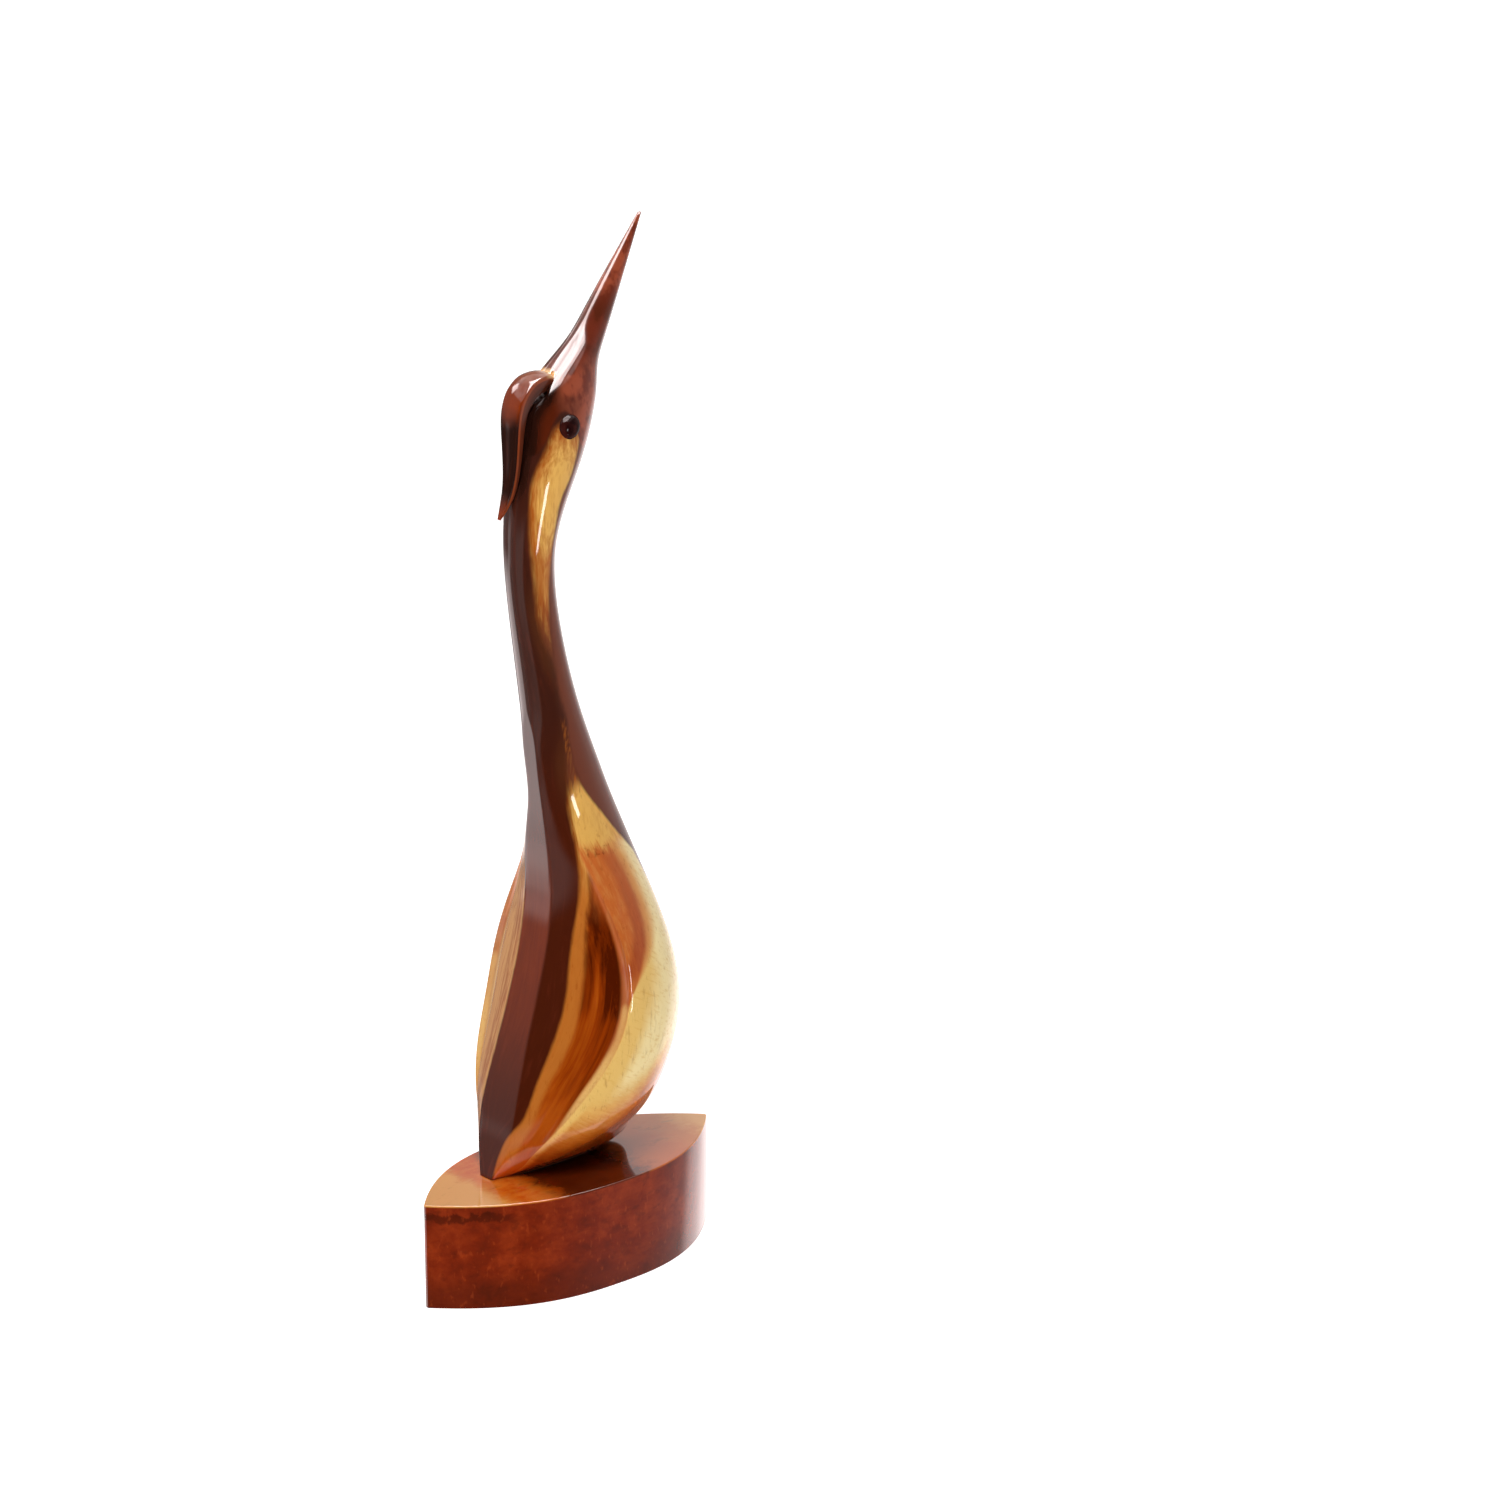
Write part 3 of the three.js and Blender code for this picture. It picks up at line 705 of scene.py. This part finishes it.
    # The heart of the log: darkest up the neck, redder on the flat and down the front of the neck
    dark = blend(rise(z, 128, 175), tone["heart"], tone["neck"])
    olive = rise(layer + wander * 0.5, -2.4, -0.4) * between(z, 152, 196, 16) * 0.5
    dark = blend(olive, dark, tone["neckBrown"])
    onFlat = rise(flat + wander * 0.3, 0.7, -0.7) * rise(z, 134, 104) * rise(z, 46, 90)
    dark = blend(onFlat * rise(heartStreak, -0.3, 0.2, 0.6, 1.0), dark, tone["flat"])
    dark = blend(rise(front + wander, -0.8, 1.0) * rise(z, 122, 138), dark, tone["heartFront"])
    dark = blend(rise(heartStreak, 0.0, 0.3) * 0.25, dark, tone["cheekDark"])
    ray = between(front + wander * 0.4, -1.4, -0.4, 0.6) * between(z + wander * 2, 150, 163, 5)
    dark = blend(ray * rise(thread, -0.1, 0.15) * 0.5, dark, tone["goldDeep"])
    fade = rise(z + thread * 14, 144, 149) * rise(z + thread * 12, 206, 184) * 0.92
    wood = blend(fade, wood, tone["heartFront"])
    wood = blend(rise(heart + wander * 0.4, -0.9, 0.5), wood, dark)

    # The head: mottled brown cheeks, a darker brow, and a stain above the eye
    mottle = graph.grain(place, (1, 1, 0.6), 240, 3, 0.6) - 0.5
    cheek = blend(rise(mottle, -0.1, 0.1), tone["cheekDark"], tone["cheek"])
    # Near the groove beside the strap the brow turns darker: painted shade over dark wood
    brow = blend(rise(groove + wander * 0.6, 5.5, 2.0), tone["brow"], tone["strapDarkAndShade"])
    headWood = blend(rise(x + wander, -4.0, 1.5), brow, cheek)
    upBeak = blend(rise(mottle, -0.12, 0.14), tone["beakDark"], tone["cheekDark"])
    headWood = blend(rise(z + wander, 262, 270), headWood, upBeak)
    headWood = blend(rise(z, 278, 288), headWood, cheek)
    wood = blend(rise(head + wander * 0.5, -0.5, 1.1) * rise(z, 240, 243), wood, headWood)
    stainSpot = (0.0016, -0.0074, 0.2556)
    fromStain = graph.add("ShaderNodeVectorMath", {"operation": "DISTANCE"}, [place, stainSpot], "Value") / mm
    wood = blend(rise(fromStain + wander, 4.6, 1.8) * 0.45, wood, tone["stain"])

    # The crest: lighter at the top of its curl, where a sheen is painted, nearly black down its outer face,
    # with a red tip
    run = strapRun + cloud * 0.2
    # Painted sheen: the top of the curl is lighter
    face = blend(rise(run, 0.3, 0.12), tone["strap"], tone["strapSheen"])
    face = blend(between(run, 0.48, 0.82, 0.17), face, tone["strapDarkAndShade"])
    face = blend(rise(heartStreak, 0.0, 0.25) * 0.3, face, tone["brow"])
    # The strap's side face: lighter along its rim, a painted sheen, and darker deeper down towards the
    # groove, painted shade
    onSide = rise(sunk, 0.3, 0.7)
    shade = blend(rise(sunk, 1.8, 3.6) * 0.6, tone["strapSide"], tone["strapDarkAndShade"])
    face = blend(onSide, face, blend(between(sunk, 0.2, 1.0, 0.5), shade, tone["strapRimSheen"]))
    face = blend(rise(strapRun, 0.1, 0.05) * rise(sunk, 1.2, 0.3), face, tone["lip"])
    # Painted shade in the groove beside the strap, over dark heart wood
    grooveShade = rise(groove + wander * 0.4, 3.2, 1.0) * rise(z, 228, 236) * rise(z, 264, 261)
    wood = blend(grooveShade * 0.95, wood, tone["strapDarkAndShade"])
    wood = blend(strap, wood, face)

    wood = blend(rise(fine, 0.62, 0.76) * 0.12, wood, tone["brownDark"])
    height = graph.noise(place, 45, 1) + fine * 0.005
    coat = 1 - strap * rise(run, 0.36, 0.5) * rise(run, 0.9, 0.8) * 0.85
    return lacquer(graph, material, wood, height, coat=coat)


def blockWood():
    material, graph = newMaterial("red_brown_block")
    rise, blend = graph.rise, graph.blend
    tone = tones(blockColours)
    place = graph.add("ShaderNodeTexCoord", None, None, "Object")
    x, _, z = graph.axes(place, 1 / mm)
    mottle = graph.grain(place, (0.6, 1, 0.8), 230, 5, 0.66, 0.3)
    broad = graph.grain(place, (0.6, 1, 0.8), 60, 2, 0.5)
    streak = graph.grain(place, (0.05, 1, 1), 1000, 3, 0.6)
    figureShare = mottle * 0.6 + broad * 0.4 + (streak - 0.5) * 0.1

    # The side is mottled, darker towards the ground, with a dark band under the top at the back end
    stops = [(0.34, tone["sideDeep"]), (0.48, tone["side"]), (0.64, tone["sideLight"])]
    side = graph.ramp(figureShare, stops)
    side = blend(rise(z + (broad - 0.5) * 14, 0, 15, 0.6, 0.0), side, tone["sideFoot"])
    band = graph.between(z + (mottle - 0.5) * 8, 27, 28.4, 0.8) * rise(x + (broad - 0.5) * 30, -28, -42)
    side = blend(band * 0.7, side, tone["band"])
    blots = rise(graph.grain(place, (0.7, 1, 1), 420, 3, 0.6), 0.54, 0.7) * 0.4
    side = blend(blots, side, tone["blot"])
    flecks = rise(graph.grain(place, (1, 1, 0.5), 760, 2, 0.5), 0.6, 0.74) * 0.35
    side = blend(flecks, side, tone["fleck"])

    # The top is dark across the middle, where the bird's shadow is painted, orange behind it and light at
    # both ends
    across = x + (mottle - 0.5) * 14
    top = blend(rise(figureShare, 0.38, 0.6), tone["backDeep"], tone["back"])
    top = blend(rise(across, -29, -36), top, tone["backEnd"])
    # Painted shadow of the bird across the middle of the top
    middle = blend(rise(figureShare, 0.38, 0.62), tone["birdShadowDeep"], tone["heart"])
    top = blend(rise(across, -23, -15), top, middle)
    top = blend(rise(across, 8, 19), top, tone["front"])
    top = blend(rise(across, 26, 37), top, tone["frontLight"])
    top = blend(rise(across, 37, 48), top, tone["frontEnd"])
    top = blend(rise(mottle, 0.55, 0.75) * 0.35, top, tone["topBlot"])
    topLevel = block["Height"] / mm
    wood = blend(rise(z, topLevel - 0.7, topLevel - 0.25), side, top)
    height = graph.noise(place, 40, 1) * 0.7 + streak * 0.02
    return lacquer(graph, material, wood, height)


def beadGloss():
    material, graph = newMaterial("dark_bead")
    place = graph.add("ShaderNodeTexCoord", None, None, "Object")
    cloud = graph.noise(place, 260, 2, 0.5)
    dark, light = fromDisplay(*eyes["dark"]), fromDisplay(*eyes["light"])
    colour = graph.blend(graph.rise(cloud, 0.4, 0.65), dark, light)
    return lacquer(graph, material, colour, cloud, 0.00005, 0.25)


# The block: its plan is two arcs that meet in a blunt point at each end
block = {
    "Length": 0.105, "Width": 0.046, "Height": 0.0316, "Middle Y": -0.0044, "Arc Power": 2.5,
    "Point Width": 0.0008, "Edge": 0.00025, "Points": 240, "Rows": 12,
}


# A tube of rows is bent to the plan. At each end four rows turn in over the edge, and the last lies flat
def buildBlock(graph, size):
    inputs = {"Vertices": size["Points"], "Side Segments": size["Rows"], "Radius": 1.0, "Depth": 2.0}
    tube = graph.add("GeometryNodeMeshCylinder", {"fill_type": "TRIANGLE_FAN"}, inputs)
    spot = graph.add("GeometryNodeInputPosition")
    x, y, z = graph.axes(spot)
    fromAxis = (x * x + y * y) ** 0.5
    level = z * 0.5 + 0.5
    row = level * size["Rows"]
    fromEnd = row.maths("MINIMUM", size["Rows"] - row)
    edgeRows = 4
    turn = (fromEnd - 1).maths("MAXIMUM", 0.0).maths("MINIMUM", edgeRows) * (math.pi / 2 / edgeRows)
    flatRow = (1 - fromEnd).maths("MAXIMUM", 0.0) * size["Edge"]
    inset = size["Edge"] * (1 - turn.maths("SINE")) + flatRow
    climb = size["Edge"] * (1 - turn.maths("COSINE"))
    upper = (level - 0.5).maths("SIGN") * 0.5 + 0.5
    height = upper * (size["Height"] - climb) + (1 - upper) * climb
    plan = x / fromAxis.maths("MAXIMUM", 0.0001)
    onRim = fromAxis.maths("GREATER_THAN", 0.5)
    point = size["Point Width"] / 2
    reach = point + (size["Width"] / 2 - inset - point) * (1 - abs(plan) ** size["Arc Power"])
    newX = plan * (size["Length"] / 2 - inset) * onRim
    newY = size["Middle Y"] + y.maths("SIGN") * reach * onRim
    newSpot = graph.add("ShaderNodeCombineXYZ", None, [newX, newY, height])
    return graph.add("GeometryNodeSetPosition", None, {"Geometry": tube, "Position": newSpot})


def finishPiece(thing, node, smoothAngle):
    mesh = thing.data
    mesh.polygons.foreach_set("use_smooth", [True] * len(mesh.polygons))
    mesh.set_sharp_from_angle(angle=math.radians(smoothAngle))
    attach(thing, "root")
    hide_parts(node)
    mesh.calc_loop_triangles()
    print(thing.name, len(mesh.loop_triangles), "triangles")


beadMaterial = beadGloss()
eyeRight = eyeBead("bead_eye_right", -1, beadMaterial)
eyeLeft = eyeBead("bead_eye_left", 1, beadMaterial)
carved = birdBody()
for outline in (grooveOutline, grooveOnRight):
    groove = alongCrest("groove", crest["grooveFrom"], crest["grooveTo"], outline)
    combine(carved, groove, "DIFFERENCE")
combine(carved, alongCrest("crest", 0, 1, strapOutline), "UNION")
for side in (-1, 1):
    combine(carved, eyeBead("socket", side, beadMaterial, eyes["play"]), "DIFFERENCE")
carved.data.materials.clear()
carved.data.materials.append(carvedWood())
layerFigure(carved.data)
lensBlock = meshFromTree("lens_block", buildBlock, blockWood(), block)
finishPiece(carved, "bird", 38)
finishPiece(eyeRight, "eye_right", 60)
finishPiece(eyeLeft, "eye_left", 60)
finishPiece(lensBlock, "base_block", 40)
print("pieces made")

# The studio. A soft box and a plain room light the wood. The lacquer mirrors another, darker room with
# cards and a clouded ceiling in it. Turns are degrees from the camera towards the right of its picture,
# and pitches are up. Ceiling panels are given by how far to that right and towards the camera they reach,
# in heights above
studio = {
    "aim": (0, 0, 0.17), "distance": 1.3, "warmth": (1.07, 0.96, 0.95),
    "key": {"turn": -8, "pitch": 54, "width": 0.62, "height": 0.52, "glow": 12},
    "slips": [
        {"aim": (-0.005, -0.008, 0.145), "distance": 0.3, "turn": 37, "pitch": 0, "width": 0.048,
         "height": 0.082, "glow": 13},
        {"aim": (0.004, -0.031, 0.085), "distance": 0.12, "turn": 44, "pitch": -4, "width": 0.012,
         "height": 0.028, "glow": 13},
    ],
    "room": [
        (-180, 0.8), (-140, 0.9), (-80, 0.85), (-68, 0.05), (-50, 0.03), (70, 0.03), (95, 0.16),
        (120, 0.5), (140, 0.9), (180, 0.8)],
    "mirrored": [
        (-180, 0.4), (-160, 0.25), (-118, 0.25), (-98, 0.33), (-82, 0.36), (-70, 0.25), (-56, 0.0),
        (35, 0.0), (60, 0.12), (95, 0.36), (118, 0.6), (138, 0.75), (158, 1.0), (180, 0.4)],
    "cards": [
        {"turn": -122, "pitch": 31, "halfTurn": 8, "halfPitch": 5, "soft": 4, "glow": 7},
        {"turn": -124, "pitch": -28, "halfTurn": 22, "halfPitch": 7, "soft": 7, "glow": 2.0},
        {"turn": -97, "pitch": -13, "halfTurn": 6, "halfPitch": 3, "soft": 4, "glow": 0.85},
        {"turn": -42, "pitch": -19, "halfTurn": 14, "halfPitch": 6, "soft": 9, "glow": 0.45},
        {"turn": 162, "pitch": -25, "halfTurn": 24, "halfPitch": 4, "soft": 14, "glow": 0.9},
        {"turn": 174, "pitch": 20, "halfTurn": 5, "halfPitch": 8, "soft": 8, "glow": 0.9},
    ],
    "panels": [
        {"right": (-0.38, 0.64), "ahead": (-0.3, 0.97), "soft": 0.1, "glow": 19},
        {"right": (-1.7, 1.4), "ahead": (-1.3, 1.0), "soft": 0.2, "glow": 1.5},
    ],
    "clouds": {"scale": 1.7, "low": 0.38, "high": 0.56, "start": 0.6, "end": 1.08},
    "leastUp": 0.05, "panelsFadeIn": (0.1, 0.2),
    "floor": {"half": 12, "grey": 0.9, "glow": 0.6},
}


def areaLight(name, aim, distance, turn, pitch, width, height, glow):
    data = bpy.data.lights.new(name, "AREA")
    data.shape = "RECTANGLE"
    data.size = width
    data.size_y = height
    data.energy = glow * width * height * math.pi
    light = bpy.data.objects.new(name, data)
    direction = towards(view["turn"] + turn, pitch)
    light.location = Vector(aim) + direction * distance
    light.rotation_euler = direction.to_track_quat("Z", "Y").to_euler()
    light.visible_camera = False
    bpy.context.scene.collection.objects.link(light)
    return light


def studioLights():
    box = areaLight("softBox", studio["aim"], studio["distance"], **studio["key"])
    box.visible_glossy = False
    for slip in studio["slips"]:
        card = areaLight("slip", **slip)
        card.visible_diffuse = False


def studioWorld():
    world = bpy.data.worlds.new("studio")
    world.use_nodes = True
    world.node_tree.nodes.clear()
    graph = Graph(world.node_tree)
    way = graph.add("ShaderNodeTexCoord", None, None, "Generated")
    parts = []
    for axis in (towards(view["turn"] + 90, 0), towards(view["turn"], 0), (0, 0, 1)):
        inputs = [way, tuple(axis)]
        parts.append(graph.add("ShaderNodeVectorMath", {"operation": "DOT_PRODUCT"}, inputs, "Value"))
    right, ahead, up = parts
    turn = right.maths("ARCTAN2", ahead) * (180 / math.pi)
    pitch = up.maths("ARCSINE") * (180 / math.pi)

    def byTurn(stops):
        stops = [((at + 180) / 360, (glow, glow, glow, 1)) for at, glow in stops]
        return graph.ramp((turn + 180) / 360, stops)

    mirrored = byTurn(studio["mirrored"])
    for card in studio["cards"]:
        aside = abs((turn - card["turn"]).maths("WRAP", 180, -180))
        inTurn = graph.rise(aside, card["halfTurn"] + card["soft"], card["halfTurn"])
        above = abs(pitch - card["pitch"])
        inPitch = graph.rise(above, card["halfPitch"] + card["soft"], card["halfPitch"])
        mirrored = mirrored + inTurn * inPitch * card["glow"]
    overhead = up.maths("MAXIMUM", studio["leastUp"])
    toRight, toCamera = right / overhead, ahead / overhead
    spot = graph.add("ShaderNodeCombineXYZ", None, [toRight, toCamera, 0.0])
    look = dict(studio["clouds"])
    clouds = graph.rise(graph.noise(spot, look.pop("scale")), **look)
    for panel in studio["panels"]:
        across = graph.between(toRight, *panel["right"], panel["soft"])
        along = graph.between(toCamera, *panel["ahead"], panel["soft"])
        onPanel = across * along * graph.rise(up, *studio["panelsFadeIn"])
        mirrored = mirrored + onPanel * clouds * panel["glow"]
    room = byTurn(studio["room"])
    inMirror = graph.add("ShaderNodeLightPath", None, None, "Is Glossy Ray")
    seen = graph.add("ShaderNodeLightPath", None, None, "Is Camera Ray")
    glow = room + inMirror * (mirrored - room)
    glow = glow + seen * (1.0 - glow)
    tint = graph.blend(inMirror, (1, 1, 1, 1), (*studio["warmth"], 1))
    background = graph.add("ShaderNodeBackground", None, {"Color": tint, "Strength": glow})
    graph.add("ShaderNodeOutputWorld", None, [background])
    bpy.context.scene.world = world


def paleFloor():
    mesh = bpy.data.meshes.new("floor")
    half, grey = studio["floor"]["half"], studio["floor"]["grey"]
    corners = [(-half, -half, 0), (half, -half, 0), (half, half, 0), (-half, half, 0)]
    mesh.from_pydata(corners, [], [(0, 1, 2, 3)])
    floor = bpy.data.objects.new("floor", mesh)
    bpy.context.scene.collection.objects.link(floor)
    material, graph = newMaterial("pale_floor")
    inputs = {
        "Base Color": (grey, grey, grey, 1), "Roughness": 0.8, "Specular IOR Level": 0.1,
        "Emission Color": (1, 1, 1, 1), "Emission Strength": studio["floor"]["glow"]}
    shader = graph.add("ShaderNodeBsdfPrincipled", None, inputs)
    graph.add("ShaderNodeOutputMaterial", None, [shader])
    mesh.materials.append(material)
    floor.visible_glossy = False


studioLights()
studioWorld()
paleFloor()
bpy.context.scene.view_settings.view_transform = "Standard"
print("studio lit")
